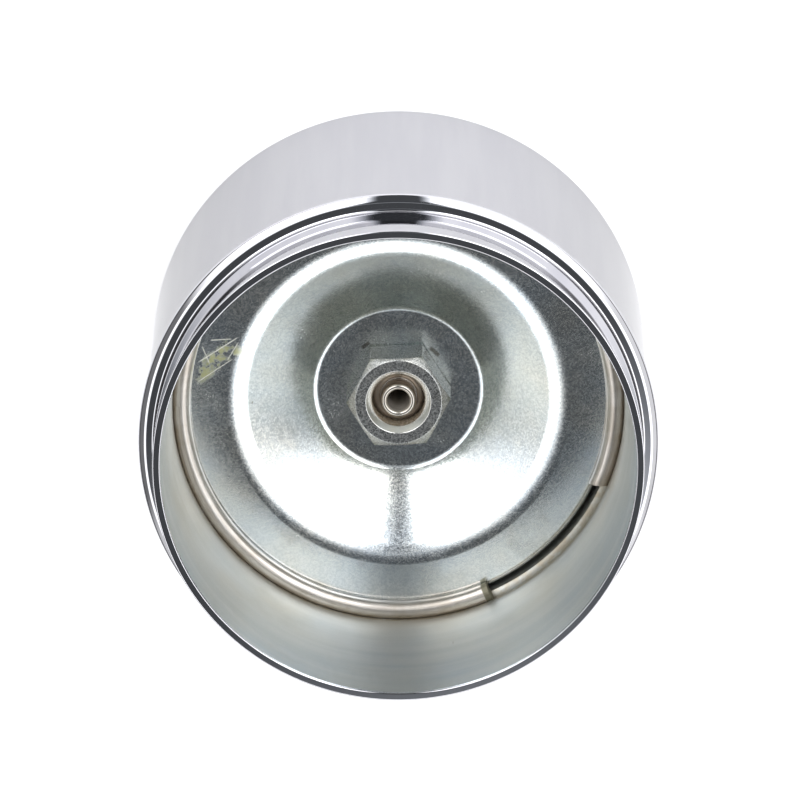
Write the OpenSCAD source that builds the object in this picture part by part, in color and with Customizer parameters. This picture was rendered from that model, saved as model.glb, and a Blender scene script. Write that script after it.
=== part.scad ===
// Air filter housing: a chromed can with an inner sleeve, and a sprung, dished plate that a wire
// ring keeps in. The can stands on its closed back; its mouth opens along +Z. Millimetres.

/* [Can] */
// Overall length, from the closed back to the lip
can_length = 86.5; // [78:0.5:120]
// Outer diameter of the straight wall
wall_d = 105; // [103:0.5:130]
// Inner diameter of the mouth
mouth_d = 97; // [80:0.5:99]
// Sheet thickness of the chromed shell
shell_t = 0.8; // [0.6:0.05:1.2]
// Outside radius of the edge between the wall and the back
back_edge_r = 2.5; // [1.5:0.25:6]
// Radius of the two edges of the lip
lip_edge_r = 0.25; // [0.15:0.05:0.6]
// How much the lip falls from its inner to its outer edge
lip_fall = 0.12; // [0:0.02:0.2]

/* [Bead] */
// Distance from the lip to the corner between the neck and the bead's shoulder
bead_depth = 14.95; // [13:0.05:24]
// Width of the bead's shoulder, from the neck to the knee
shoulder_w = 1.95; // [1.4:0.05:2.4]
// How much the shoulder falls from the neck to the knee
shoulder_fall = 0.25; // [0:0.05:1]
// How far the bead's corner stands out from the wall, before it is rounded
bead_rise = 1.2; // [0.9:0.1:3]
// How much lower the bead's corner is than the neck's
bead_drop = 1.3; // [1:0.1:3]
// Length of the bead's flank towards the back
bead_back = 2.2; // [1.5:0.1:5]
// Outer radius of the bead's rounded edge
bead_edge_r = 0.9; // [0.85:0.05:1.1]

/* [Sleeve] */
// Sheet thickness of the inner sleeve
sleeve_t = 0.8; // [0.6:0.05:1.2]
// Length of the straight land behind the lip
land_length = 11; // [6:0.5:14]
// How much the sleeve narrows in radius from its land to the wire ring
sleeve_draft = 1.3; // [0.5:0.1:2.5]
// Depth of the wire ring's groove
groove_depth = 0.4; // [0.25:0.05:0.7]
// How much narrower the sleeve is in radius below the groove
seat_step = 0.9; // [0.5:0.05:1.1]

/* [Wire ring] */
// Wire diameter
wire_d = 4; // [3:0.1:5]
// Distance from the lip to the middle of the wire
ring_depth = 44.1; // [38:0.1:50]
// Opening between the wire's two cut ends, in degrees
ring_gap = 41.5; // [20:0.5:60]
// Direction of the gap's middle, in degrees from +X
ring_gap_at = -44.25; // [-180:0.25:180]

/* [Plate] */
// Sheet thickness of the dished plate
plate_t = 1.5; // [1:0.1:2]
// Clearance between the plate's rim and the sleeve
plate_clearance = 1.2; // [0.6:0.1:2]
// Height of the plate's turned rim
rim_h = 5.5; // [4:0.5:8]
// Depth of the dish
dish_depth = 10.1; // [6:0.1:11]
// Width of the flat outer ring, from the rim to where the cone starts
flat_ring_w = 11.6; // [10:0.1:14]
// Diameter of the dish's flat floor
floor_d = 35; // [32:0.5:40]

/* [Nut and hollow bolt] */
// Nut and bolt head, across flats
nut_af = 19; // [17:0.5:22]
// Height of the nut
nut_h = 10.5; // [8:0.25:12]
// Turn of the nut's corners from the X axis, in degrees
nut_turn = 2.5; // [-30:0.5:30]
// Diameter of the nut's hole
nut_bore_d = 11.1; // [10:0.1:13.5]
// Depth from the nut's face to the end of the bolt's shank
shank_recess = 5; // [3:0.25:6]
// Height of the bolt's head
head_h = 6; // [4:0.5:8]
// Outer diameter of the spigot on the bolt's end
spigot_d = 7.3; // [6:0.1:8.5]
// Depth from the nut's face to the spigot's tip
spigot_recess = 1; // [0.5:0.1:2]
// Diameter of the hole right through the bolt
port_d = 4.6; // [3:0.1:5]
// Thickness of the sealing washer
washer_t = 1; // [0.8:0.1:2]

/* [Spring] */
// Wire diameter of the spring
spring_wire_d = 3; // [2:0.1:3.8]
// Radial gap between the spring and the inside of the plate's rim
spring_rim_gap = 4.5; // [2.5:0.25:5]
// Number of turns, the two closed end turns among them
spring_turns = 5.5; // [5:0.5:7]
// Thickness of the spring's seat
seat_t = 1; // [0.8:0.1:1.5]

/* [Hidden] */
$fn = 128;

running_gap = 0.05;    // radial gap between a shank and its hole
rest_gap = 0.1;        // gap that the moving plate keeps from the spring and the wire ring
bolt_clearance = 0.6;  // radial clearance of the bolt in the plate and washer
seat_guide = 0.5;      // radial gap between the spring and its seat's upstand
foot_inset = 0.6;      // how far the sleeve's foot stays clear of the back's rounded edge
cone_bend_r = 9;       // radius of the bend at the cone's wide end
floor_bend_r = 2.5;    // radius of the bend at the dish's floor
rim_bend_r = 1.8;      // outer radius of the plate's rim bend
chamfer_angle = 30;    // of a hex's corners
chamfer_flat = 0.95;   // diameter of a hex's flat face, as a share of its size
mouth_chamfer = 1.25;  // of the nut's hole

mouth_r = mouth_d / 2;
wall_r = wall_d / 2;
neck_r = mouth_r + sleeve_t + shell_t;
shoulder_z = can_length - bead_depth;
lip_z = can_length - shell_t;

ring_z = can_length - ring_depth;
wire_r = wire_d / 2;
sleeve_r = mouth_r - sleeve_draft;
groove_clearance = 0.1;
ring_r = sleeve_r + groove_depth - groove_clearance - wire_r;
groove_r = wire_r + groove_clearance;
sleeve_top = lip_z - running_gap;

low_r = sleeve_r - seat_step;
plate_r = low_r - plate_clearance;
// the wire rests on the bend of the plate's rim, or on its flat ring where the wire lies further in
rim_overlap = max(0, ring_r - (plate_r - rim_bend_r));
wire_reach = wire_r + rim_bend_r + rest_gap;
plate_z = ring_z + rim_bend_r - sqrt(wire_reach * wire_reach - rim_overlap * rim_overlap);
floor_z = plate_z - dish_depth;
nut_top = floor_z + nut_h;
shank_r = nut_bore_d / 2 - running_gap;
bolt_hole_r = shank_r + bolt_clearance;
washer_z = floor_z - plate_t - washer_t;
washer_r = nut_af / 2 + 0.5;

seat_z = shell_t;
spring_r = plate_r - plate_t - spring_rim_gap - spring_wire_d / 2;
spring_base = seat_z + seat_t;
spring_top = plate_z - plate_t - rest_gap;
spring_sides = 8;
rings_per_turn = 24;

// ---- outlines of pressed sheet: a path of [radius, height] corners, each with its bend radius ----

function unit(v) = v / norm(v);
function left(v) = [-v.y, v.x];
function side(p, i) = left(unit(p[i + 1] - p[i]));

// Corner i of the path, moved to the left by d
function moved(p, i, d) =
    i == 0 ? p[0] + d * side(p, 0)
    : i == len(p) - 1 ? p[i] + d * side(p, i - 1)
    : let (a = side(p, i - 1), b = side(p, i)) p[i] + d * (a + b) / (1 + a * b);

// Round stretch that replaces corner b between a and c
function bend(a, b, c, r, steps = 10) =
    let (u = unit(a - b), v = unit(c - b), half = acos(u * v) / 2,
         centre = b + unit(u + v) * r / sin(half),
         start = b + u * r / tan(half) - centre,
         sweep = (180 - 2 * half) * sign(cross(b - a, c - b)))
    [for (i = [0:steps]) let (t = sweep * i / steps)
        centre + [start.x * cos(t) - start.y * sin(t), start.x * sin(t) + start.y * cos(t)]];

// The whole path, moved to the left by d, with its bends
function bent(p, radii, d) =
    let (q = [for (i = [0:len(p) - 1]) moved(p, i, d)])
    [for (i = [0:len(p) - 1])
        let (inner = i > 0 && i < len(p) - 1,
             turn = inner ? sign(cross(p[i] - p[i - 1], p[i + 1] - p[i])) : 0,
             r = radii[i] - turn * d)
        each (inner && radii[i] > 0 ? bend(q[i - 1], q[i], q[i + 1], r) : [q[i]])];

function reversed(list) = [for (i = [len(list) - 1:-1:0]) list[i]];

// Outline of a sheet of thickness t that lies to the left of the path
function sheet(p, radii, t) = concat(bent(p, radii, 0), reversed(bent(p, radii, t)));

// ---- can ----

// Outer side of the shell, from the middle of its back to the lip
shell_path = [
    [0, 0], [wall_r, 0],
    [wall_r, shoulder_z - bead_drop - bead_back], [wall_r + bead_rise, shoulder_z - bead_drop],
    [neck_r + shoulder_w, shoulder_z - shoulder_fall], [neck_r, shoulder_z], [neck_r, lip_z]];
shell_bends = [0, back_edge_r, 2.5, bead_edge_r, 1.4, 0.6, 0];

module outer_shell() {
    color([0.86, 0.87, 0.9])
    rotate_extrude() {
        polygon(sheet(shell_path, shell_bends, shell_t));
        // lip, turned in over the sleeve's end
        hull() {
            translate([mouth_r, lip_z - 0.001]) square([neck_r - mouth_r, 0.01]);
            translate([mouth_r + lip_edge_r, can_length - lip_edge_r]) circle(r = lip_edge_r, $fn = 32);
            translate([neck_r - lip_edge_r, can_length - lip_edge_r - lip_fall])
            circle(r = lip_edge_r, $fn = 32);
        }
    }
}

// Outer sides of the sleeve: from its foot to its groove, and from there to its end under the lip
low_out = low_r + sleeve_t;
sleeve_out = sleeve_r + sleeve_t;
foot_r = wall_r - back_edge_r - foot_inset;
low_path = [
    [foot_r, shell_t + sleeve_t], [low_out, shell_t + sleeve_t], [low_out, ring_z]];
high_path = [
    [sleeve_out, ring_z], [sleeve_out, ring_z + 2 * wire_r],
    [mouth_r + sleeve_t, can_length - land_length], [mouth_r + sleeve_t, sleeve_top]];

module inner_sleeve() {
    color([0.68, 0.69, 0.64])
    rotate_extrude()
    difference() {
        union() {
            polygon(sheet(low_path, [0, 1.2, 0], sleeve_t));
            polygon(sheet(high_path, [0, 20, 0, 0], sleeve_t));
            intersection() {
                translate([ring_r, ring_z]) circle(r = groove_r + sleeve_t);
                union() {
                    translate([low_r, 0]) square([wall_r, ring_z]);
                    translate([sleeve_r, 0]) square([wall_r, can_length]);
                }
            }
        }
        translate([ring_r, ring_z]) circle(r = groove_r);
    }
}

// Wire snap ring, sprung into the sleeve's groove
module wire_ring() {
    color([0.78, 0.75, 0.7])
    translate([0, 0, ring_z])
    rotate([0, 0, ring_gap_at + ring_gap / 2])
    rotate_extrude(angle = 360 - ring_gap) translate([ring_r, 0]) circle(r = wire_r, $fn = 32);
}

// ---- plate and what is bolted to it ----

// Mouth side of the plate, from its hole out to the end of its turned rim
plate_path = [
    [bolt_hole_r, floor_z], [floor_d / 2, floor_z], [plate_r - flat_ring_w, plate_z],
    [plate_r, plate_z], [plate_r, plate_z - rim_h]];
plate_bends = [0, floor_bend_r, cone_bend_r, rim_bend_r, 0];

module dished_plate() {
    color([0.6, 0.63, 0.66])
    rotate_extrude() polygon(sheet(plate_path, plate_bends, -plate_t));
}

// Hexagonal prism with its corners turned off at both ends
module hex_prism(af, h) {
    flat_r = af * chamfer_flat / 2;
    corner_r = af / 2 / cos(30);
    drop = (corner_r - flat_r) * tan(chamfer_angle);
    intersection() {
        cylinder(r = corner_r, h = h, $fn = 6);
        rotate_extrude()
        polygon([[0, 0], [flat_r, 0], [corner_r, drop], [corner_r, h - drop], [flat_r, h], [0, h]]);
    }
}

module hex_nut() {
    bore_r = nut_bore_d / 2;
    wide_r = bore_r + mouth_chamfer;
    color([0.72, 0.72, 0.66])
    translate([0, 0, floor_z])
    difference() {
        rotate([0, 0, nut_turn]) hex_prism(nut_af, nut_h);
        translate([0, 0, -1]) cylinder(r = bore_r, h = nut_h + 2);
        translate([0, 0, nut_h - mouth_chamfer]) cylinder(r1 = bore_r, r2 = wide_r, h = mouth_chamfer);
        cylinder(r1 = wide_r, r2 = bore_r, h = mouth_chamfer);
    }
}

// Hollow bolt: its head is behind the plate, its spigot stands in the nut's mouth
module hollow_bolt() {
    shank_top = nut_top - shank_recess;
    spigot_top = nut_top - spigot_recess;
    tip_r = (spigot_d - port_d) / 4;
    color([0.75, 0.72, 0.68])
    difference() {
        union() {
            translate([0, 0, washer_z - head_h]) hex_prism(nut_af, head_h);
            translate([0, 0, washer_z]) cylinder(r = shank_r, h = shank_top - washer_z);
            translate([0, 0, shank_top]) cylinder(d = spigot_d, h = spigot_top - tip_r - shank_top);
            translate([0, 0, spigot_top - tip_r])
            rotate_extrude() translate([(spigot_d + port_d) / 4, 0]) circle(r = tip_r, $fn = 32);
        }
        translate([0, 0, washer_z - head_h - 1])
        cylinder(d = port_d, h = spigot_top - washer_z + head_h + 2);
    }
}

module seal_washer() {
    color([0.72, 0.45, 0.25])
    translate([0, 0, washer_z])
    difference() {
        cylinder(r = washer_r, h = washer_t);
        translate([0, 0, -1]) cylinder(r = bolt_hole_r, h = washer_t + 2);
    }
}

// ---- spring ----

// Upstand that centres the spring, and the flat ring that it stands on
seat_in = spring_r - spring_wire_d / 2 - seat_guide;
seat_path = [
    [spring_r + spring_wire_d, seat_z], [seat_in - seat_t, seat_z],
    [seat_in - seat_t, seat_z + seat_t + spring_wire_d]];

module spring_seat() {
    color([0.6, 0.62, 0.64])
    rotate_extrude() polygon(sheet(seat_path, [0, seat_t + 0.8, 0], -seat_t));
}

// Height of the wire's middle after a number of turns: the first and the last turn are closed
closed_pitch = spring_wire_d * 1.03;
open_rise = spring_top - spring_base - spring_wire_d - 2 * closed_pitch;
function wire_z(turn) =
    spring_base + spring_wire_d / 2 + closed_pitch * min(turn, 1)
    + open_rise * max(0, min(turn - 1, spring_turns - 2)) / (spring_turns - 2)
    + closed_pitch * max(0, turn - spring_turns + 1);

module spring() {
    count = spring_turns * rings_per_turn;
    points = [for (i = [0:count], k = [0:spring_sides - 1])
        let (turn = i / rings_per_turn, a = 360 * turn, b = 360 * k / spring_sides,
             r = spring_r + spring_wire_d / 2 * cos(b))
        [r * cos(a), r * sin(a), wire_z(turn) + spring_wire_d / 2 * sin(b)]];
    last = count * spring_sides;
    sides = [for (i = [0:count - 1], k = [0:spring_sides - 1])
        let (a = i * spring_sides, n = (k + 1) % spring_sides)
        [a + k, a + n, a + spring_sides + n, a + spring_sides + k]];
    ends = [[for (k = [spring_sides - 1:-1:0]) k], [for (k = [0:spring_sides - 1]) last + k]];
    color([0.5, 0.52, 0.55]) polyhedron(points, concat(sides, ends));
}

outer_shell();
inner_sleeve();
spring_seat();
spring();
dished_plate();
wire_ring();
seal_washer();
hollow_bolt();
hex_nut();
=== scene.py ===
"""Air filter housing, standing on its closed back and seen into its open mouth.

A chromed can with a plated sleeve. A sprung, dished plate with a nut and a hollow bolt is kept in by a
wire ring. Lengths in the named values are millimetres; meshes are in metres.
"""
import math

import bmesh
import bpy
from mathutils import Matrix, Vector


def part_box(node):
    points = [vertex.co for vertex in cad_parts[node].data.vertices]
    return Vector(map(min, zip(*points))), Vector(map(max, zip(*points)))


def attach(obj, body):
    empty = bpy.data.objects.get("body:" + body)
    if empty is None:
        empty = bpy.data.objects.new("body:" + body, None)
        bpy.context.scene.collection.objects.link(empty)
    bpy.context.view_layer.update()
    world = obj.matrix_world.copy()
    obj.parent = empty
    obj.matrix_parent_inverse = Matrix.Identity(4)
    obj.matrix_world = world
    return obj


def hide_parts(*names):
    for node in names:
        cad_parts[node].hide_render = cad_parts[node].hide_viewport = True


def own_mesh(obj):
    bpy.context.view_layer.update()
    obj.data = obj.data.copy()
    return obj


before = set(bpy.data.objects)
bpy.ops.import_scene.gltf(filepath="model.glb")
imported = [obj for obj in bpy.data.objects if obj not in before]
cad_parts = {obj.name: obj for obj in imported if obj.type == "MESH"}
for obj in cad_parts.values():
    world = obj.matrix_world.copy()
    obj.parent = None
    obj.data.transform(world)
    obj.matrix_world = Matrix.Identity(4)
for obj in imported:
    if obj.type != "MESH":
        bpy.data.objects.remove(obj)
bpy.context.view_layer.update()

MM = 0.001
SIDES = 192


# ---------------------------------------------------------------- sizes

def low(node, axis):
    """Lowest coordinate of a CAD node along an axis, in millimetres."""
    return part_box(node)[0][axis] / MM


def high(node, axis):
    """Highest coordinate of a CAD node along an axis, in millimetres."""
    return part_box(node)[1][axis] / MM


# can
can_length = high("outer_shell", 2)
shell_t = 0.8
sleeve_t = 0.8
foot_r = high("inner_sleeve", 0)
back_edge_r = 2.5
wall_r = 52.5
mouth_r = 48.5
neck_r = mouth_r + sleeve_t + shell_t
shoulder_z = can_length - 14.95
bead_corner_r = wall_r + 1.17
bead_corner_z = shoulder_z - 1.3
lip_edge_r = 0.25
lip_fall = 0.12
land_z = can_length - 11.0
sleeve_top = high("inner_sleeve", 2)

# wire ring
wire_r = (high("wire_ring", 2) - low("wire_ring", 2)) / 2
ring_z = (high("wire_ring", 2) + low("wire_ring", 2)) / 2
ring_r = -low("wire_ring", 0) - wire_r
ring_gap = 41.5
ring_gap_at = -44.25
groove_r = wire_r + 0.1
sleeve_r = ring_r + wire_r - 0.3
sleeve_low_r = sleeve_r - 0.9

# plate and what is bolted to it
plate_t = 1.5
plate_r = high("dished_plate", 0)
plate_z = high("dished_plate", 2)
rim_h = 5.5
floor_z = low("hex_nut", 2)
floor_r = 17.5
cone_r = plate_r - 11.6
hole_r = 6.1
nut_top = high("hex_nut", 2)
across_flats = 19.0
nut_turn = 2.5
nut_bore_r = 5.55
shank_r = 5.5
port_r = 2.3
spigot_r = 3.65
head_z = low("hollow_bolt", 2)
head_h = 6.0
spigot_z = high("hollow_bolt", 2)
shank_z = nut_top - 5.0
washer_z = low("seal_washer", 2)
washer_t = 1.0
washer_r = high("seal_washer", 0)

# spring
spring_wire_r = 1.5
spring_r = plate_r - plate_t - 4.5 - spring_wire_r
spring_turns = 5.5
spring_base = low("spring", 2)
spring_top = high("spring", 2)
seat_t = 1.0
seat_out_r = high("spring_seat", 0)
seat_low = low("spring_seat", 2)
seat_high = high("spring_seat", 2)


# ---------------------------------------------------------------- modelling helpers

def deselect():
    bpy.ops.object.select_all(action="DESELECT")


def name_it(piece, name):
    """Puts the piece's place into its mesh and names it."""
    bpy.ops.object.transform_apply(location=True, rotation=True, scale=True)
    piece.name = name
    piece.data.name = name


def work_on(piece):
    """Makes the piece the only selected one and opens it in edit mode."""
    if bpy.context.object is not None and bpy.context.object.mode != "OBJECT":
        bpy.ops.object.mode_set(mode="OBJECT")
    deselect()
    bpy.context.view_layer.objects.active = piece
    piece.select_set(True)
    bpy.ops.object.mode_set(mode="EDIT")


def close_edit():
    bpy.ops.object.mode_set(mode="OBJECT")


def pick_vertices(piece, test):
    """Selects the vertices that pass the test, and what lies between them."""
    bpy.ops.mesh.select_mode(type="VERT")
    bpy.ops.mesh.select_all(action="DESELECT")
    shape = bmesh.from_edit_mesh(piece.data)
    for vertex in shape.verts:
        vertex.select_set(test(vertex.co / MM))
    shape.select_flush(True)
    bmesh.update_edit_mesh(piece.data)


def pick_faces(piece, test):
    """Selects the faces whose middle and normal pass the test."""
    bpy.ops.mesh.select_mode(type="FACE")
    bpy.ops.mesh.select_all(action="DESELECT")
    shape = bmesh.from_edit_mesh(piece.data)
    for face in shape.faces:
        face.select_set(test(face.calc_center_median() / MM, face.normal))
    bmesh.update_edit_mesh(piece.data)


def pick_ring(piece, radius, height):
    """Selects the ring of edges at a radius and height."""
    def on_ring(place):
        off = math.hypot(math.hypot(place.x, place.y) - radius, place.z - height)
        return off < 0.004
    pick_vertices(piece, on_ring)


def turn_angle(before, corner, after):
    """How far the outline turns at a corner, in radians."""
    came = Vector((corner[0] - before[0], corner[1] - before[1]))
    goes = Vector((after[0] - corner[0], after[1] - corner[1]))
    return abs(came.angle(goes))


def draw_ring_on(before, after):
    """Extrudes the selected ring of edges from one radius and height to the next."""
    rise = (after[1] - before[1]) * MM
    bpy.ops.mesh.extrude_edges_move(TRANSFORM_OT_translate={"value": (0, 0, rise)})
    widen = after[0] / before[0]
    bpy.ops.transform.resize(value=(widen, widen, 1), center_override=(0, 0, 0))


def roll_ring(piece, radius, height, offset, steps):
    """Rounds the ring of edges at a radius and height, to the offset on both sides."""
    pick_ring(piece, radius, height)
    bpy.ops.mesh.bevel(offset=offset * MM, offset_type="OFFSET", segments=steps, profile=0.5,
                       affect="EDGES", clamp_overlap=False)


def draw_rings(name, corners, sides, filled):
    """Draws a ring of edges out from corner to corner of an outline, and leaves the piece in edit mode."""
    deselect()
    start = corners[0]
    fill = "NGON" if filled else "NOTHING"
    bpy.ops.mesh.primitive_circle_add(vertices=sides, radius=start[0] * MM, fill_type=fill,
                                      location=(0, 0, start[1] * MM))
    piece = bpy.context.object
    name_it(piece, name)
    work_on(piece)
    bpy.ops.mesh.select_mode(type="VERT")
    bpy.ops.mesh.select_all(action="SELECT")
    bpy.ops.mesh.select_mode(type="EDGE")
    for before, after in zip(corners, corners[1:]):
        draw_ring_on(before, after)
    return piece


def roll_bends(piece, corners, steps, loop):
    """Rounds every corner of the outline that has a bend radius."""
    count = len(corners)
    for i, corner in enumerate(corners):
        inside = loop or 0 < i < count - 1
        if not inside or corner[2] == 0:
            continue
        turn = turn_angle(corners[i - 1], corner, corners[(i + 1) % count])
        roll_ring(piece, corner[0], corner[1], corner[2] * math.tan(turn / 2) * 0.999, steps)


def weld(piece, distance):
    """Merges what coincides and turns the faces outwards."""
    bpy.ops.mesh.select_mode(type="VERT")
    bpy.ops.mesh.select_all(action="SELECT")
    bpy.ops.mesh.remove_doubles(threshold=distance * MM)
    bpy.ops.mesh.normals_make_consistent(inside=False)


def apply_modifier(piece, modifier):
    deselect()
    bpy.context.view_layer.objects.active = piece
    piece.select_set(True)
    bpy.ops.object.modifier_apply(modifier=modifier.name)


def smooth(piece, sharp_angle=32):
    """Smooth shading that stays sharp at real edges and flat on wide faces."""
    deselect()
    bpy.context.view_layer.objects.active = piece
    piece.select_set(True)
    bpy.ops.object.shade_smooth_by_angle(angle=math.radians(sharp_angle))
    weighted = piece.modifiers.new("flat faces stay flat", "WEIGHTED_NORMAL")
    weighted.keep_sharp = True
    weighted.weight = 90
    apply_modifier(piece, weighted)


def break_edges(piece, width, angle=40, steps=2):
    """Takes the sharpness off every edge steeper than the angle."""
    bevel = piece.modifiers.new("broken edges", "BEVEL")
    bevel.width = width * MM
    bevel.segments = steps
    bevel.limit_method = "ANGLE"
    bevel.angle_limit = math.radians(angle)
    bevel.use_clamp_overlap = True
    apply_modifier(piece, bevel)


def pressed_sheet(name, corners, thick, side, edge=0.15, steps=10, filled=False, sides=SIDES):
    """A round piece pressed from sheet. Corners are (radius, height, bend radius) along one of its faces."""
    piece = draw_rings(name, corners, sides, filled)
    roll_bends(piece, corners, steps, False)
    weld(piece, 0.003)
    close_edit()
    wall = piece.modifiers.new("sheet", "SOLIDIFY")
    wall.thickness = thick * MM
    wall.offset = side
    wall.use_even_offset = True
    wall.use_rim = True
    apply_modifier(piece, wall)
    work_on(piece)
    bpy.ops.mesh.select_all(action="SELECT")
    bpy.ops.mesh.remove_doubles(threshold=0.03 * MM)
    close_edit()
    if edge:
        break_edges(piece, edge)
    smooth(piece)
    return piece


def turned_piece(name, corners, steps=6, sides=SIDES):
    """A round piece turned from bar. Corners are (radius, height, bend radius) all round its outline."""
    piece = draw_rings(name, corners + [corners[0]], sides, False)
    weld(piece, 0.002)
    roll_bends(piece, corners, steps, True)
    weld(piece, 0.002)
    close_edit()
    return piece


def cut_hexagon(piece, turn, lowest, highest):
    """Mills six flats on the part of a turned piece between two heights."""
    work_on(piece)
    for flat in range(6):
        angle = math.radians(30 + turn + 60 * flat)
        outward = Vector((math.cos(angle), math.sin(angle), 0))
        pick_faces(piece, lambda place, normal: lowest - 0.01 <= place.z <= highest + 0.01)
        bpy.ops.mesh.bisect(plane_co=outward * across_flats / 2 * MM, plane_no=outward,
                            use_fill=True, clear_outer=True)
    weld(piece, 0.002)
    close_edit()


# ---------------------------------------------------------------- pieces

def make_outer_shell():
    """Drawn can with a shouldered bead, a neck, and a lip turned in over the sleeve's end."""
    corners = [
        (wall_r - 12, 0, 0),
        (wall_r, 0, back_edge_r),
        (wall_r, bead_corner_z - 2.2, 2.5),
        (bead_corner_r, bead_corner_z, 0.9),
        (neck_r + 1.95, shoulder_z - 0.25, 1.4),
        (neck_r, shoulder_z, 0.6),
        (neck_r, can_length - shell_t, 0),
    ]
    piece = pressed_sheet("housing_shell", corners, shell_t, -1, edge=0, steps=12, filled=True, sides=256)
    work_on(piece)
    pick_faces(piece, lambda place, normal: normal.z > 0.9 and place.z > can_length - shell_t - 0.01)
    bpy.ops.mesh.delete(type="FACE")
    pick_ring(piece, neck_r, can_length - shell_t)
    bpy.ops.mesh.select_mode(type="EDGE")
    outline = [
        (neck_r, can_length - shell_t),
        (neck_r, can_length - lip_fall),
        (mouth_r, can_length),
        (mouth_r, can_length - shell_t),
        (neck_r - shell_t, can_length - shell_t),
    ]
    for before, after in zip(outline, outline[1:]):
        draw_ring_on(before, after)
    roll_ring(piece, neck_r, can_length - lip_fall, lip_edge_r, 6)
    roll_ring(piece, mouth_r, can_length, lip_edge_r, 6)
    weld(piece, 0.01)
    close_edit()
    smooth(piece)
    return piece


def make_inner_sleeve():
    """Plated sleeve: a foot on the can's back, a groove for the wire ring, a wider land at its mouth."""
    lower = -math.acos((sleeve_low_r - ring_r) / groove_r)
    upper = math.acos((sleeve_r - ring_r) / groove_r)
    corners = [
        (foot_r, shell_t, 0),
        (sleeve_low_r, shell_t, 2.0),
    ]
    for step in range(13):
        angle = lower + (upper - lower) * step / 12
        corners.append((ring_r + groove_r * math.cos(angle), ring_z + groove_r * math.sin(angle), 0))
    corners += [
        (sleeve_r, ring_z + 2 * wire_r, 19.2),
        (mouth_r, land_z, 0.8),
        (mouth_r, sleeve_top, 0),
    ]
    return pressed_sheet("plated_sleeve", corners, sleeve_t, 1, edge=0.08, sides=256)


def make_wire_ring():
    """Snap ring of round wire: one end cut clean on the slant, the other sheared and burred."""
    first = math.radians(ring_gap_at + ring_gap / 2)
    sweep = math.radians(360 - ring_gap)
    deselect()
    bpy.ops.mesh.primitive_circle_add(vertices=32, radius=wire_r * MM, fill_type="NGON",
                                      location=(ring_r * MM, 0, ring_z * MM), rotation=(math.pi / 2, 0, 0))
    piece = bpy.context.object
    name_it(piece, "snap_ring")
    work_on(piece)
    bpy.ops.mesh.select_all(action="SELECT")
    bpy.ops.mesh.spin(steps=176, angle=-sweep, center=(0, 0, ring_z * MM), axis=(0, 0, 1))
    weld(piece, 0.01)
    close_edit()
    turned = Matrix.Rotation(first, 4, "Z")
    piece.data.transform(turned)
    # burred end: the last millimetre of wire is upset into a ragged flange
    last = first + sweep
    tangent = Vector((-math.sin(last), math.cos(last), 0))
    middle = Vector((ring_r * math.cos(last), ring_r * math.sin(last), ring_z))
    for vertex in piece.data.vertices:
        place = vertex.co / MM
        along = (place - middle).dot(tangent)
        if -1.3 < along < 0.5:
            out = place - middle - tangent * along
            round_it = math.atan2(out.z, out.dot(middle.normalized()))
            ragged = 0.5 + 0.3 * math.sin(3 * round_it + 1) + 0.2 * math.sin(7 * round_it)
            swell = 0.34 * ragged * min(1.0, (along + 1.3) / 0.7)
            vertex.co += out.normalized() * swell * MM if out.length > 0.01 else Vector()
    # clean end: cut on the slant
    work_on(piece)
    bpy.ops.mesh.select_all(action="SELECT")
    start = Vector((ring_r * math.cos(first), ring_r * math.sin(first), ring_z)) * MM
    slant = math.radians(18)
    facing = Vector((math.sin(first + slant), -math.cos(first + slant), 0))
    inset = Vector((-math.sin(first), math.cos(first), 0)) * 0.7 * MM
    near = Vector((ring_r * math.cos(first), ring_r * math.sin(first), ring_z))

    def close_to_end(place, normal):
        return (place - near).length < 6

    pick_faces(piece, close_to_end)
    bpy.ops.mesh.bisect(plane_co=start + inset, plane_no=facing, use_fill=True, clear_outer=True)
    weld(piece, 0.003)
    close_edit()
    break_edges(piece, 0.1, angle=50)
    smooth(piece)
    return piece


def make_dished_plate():
    """Plate with a round hole, a flat floor, a cone, a flat outer ring and a rim turned back."""
    corners = [
        (hole_r, floor_z, 0),
        (floor_r, floor_z, 2.5),
        (cone_r, plate_z, 9.0),
        (plate_r, plate_z, 1.8),
        (plate_r, plate_z - rim_h, 0),
    ]
    return pressed_sheet("spring_plate", corners, plate_t, -1, edge=0.2, steps=14)


def make_hex_nut():
    """Nut with its corners turned off at both faces, chamfered and threaded."""
    bottom = floor_z
    corner_r = across_flats / math.sqrt(3) + 0.02
    flat_r = across_flats * 0.95 / 2
    drop = (corner_r - flat_r) * math.tan(math.radians(30))
    wide_r = nut_bore_r + 1.25
    pitch = 1.75
    corners = [
        (wide_r, bottom, 0),
        (flat_r, bottom, 0),
        (corner_r, bottom + drop, 0),
        (corner_r, nut_top - drop, 0),
        (flat_r, nut_top, 0),
        (wide_r, nut_top, 0),
        (nut_bore_r, nut_top - 1.25, 0),
    ]
    crest = nut_top - 1.25
    while crest - pitch > bottom + 1.4:
        corners.append((nut_bore_r + 0.001, crest - 0.25, 0))
        corners.append((nut_bore_r + 0.62, crest - 0.9, 0))
        corners.append((nut_bore_r + 0.62, crest - 1.1, 0))
        corners.append((nut_bore_r, crest - pitch, 0))
        crest -= pitch
    corners.append((nut_bore_r, bottom + 1.25, 0))
    piece = turned_piece("nut", corners, sides=144)
    cut_hexagon(piece, nut_turn, bottom, nut_top)
    break_edges(piece, 0.16, angle=24, steps=3)
    smooth(piece, 28)
    return piece


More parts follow.
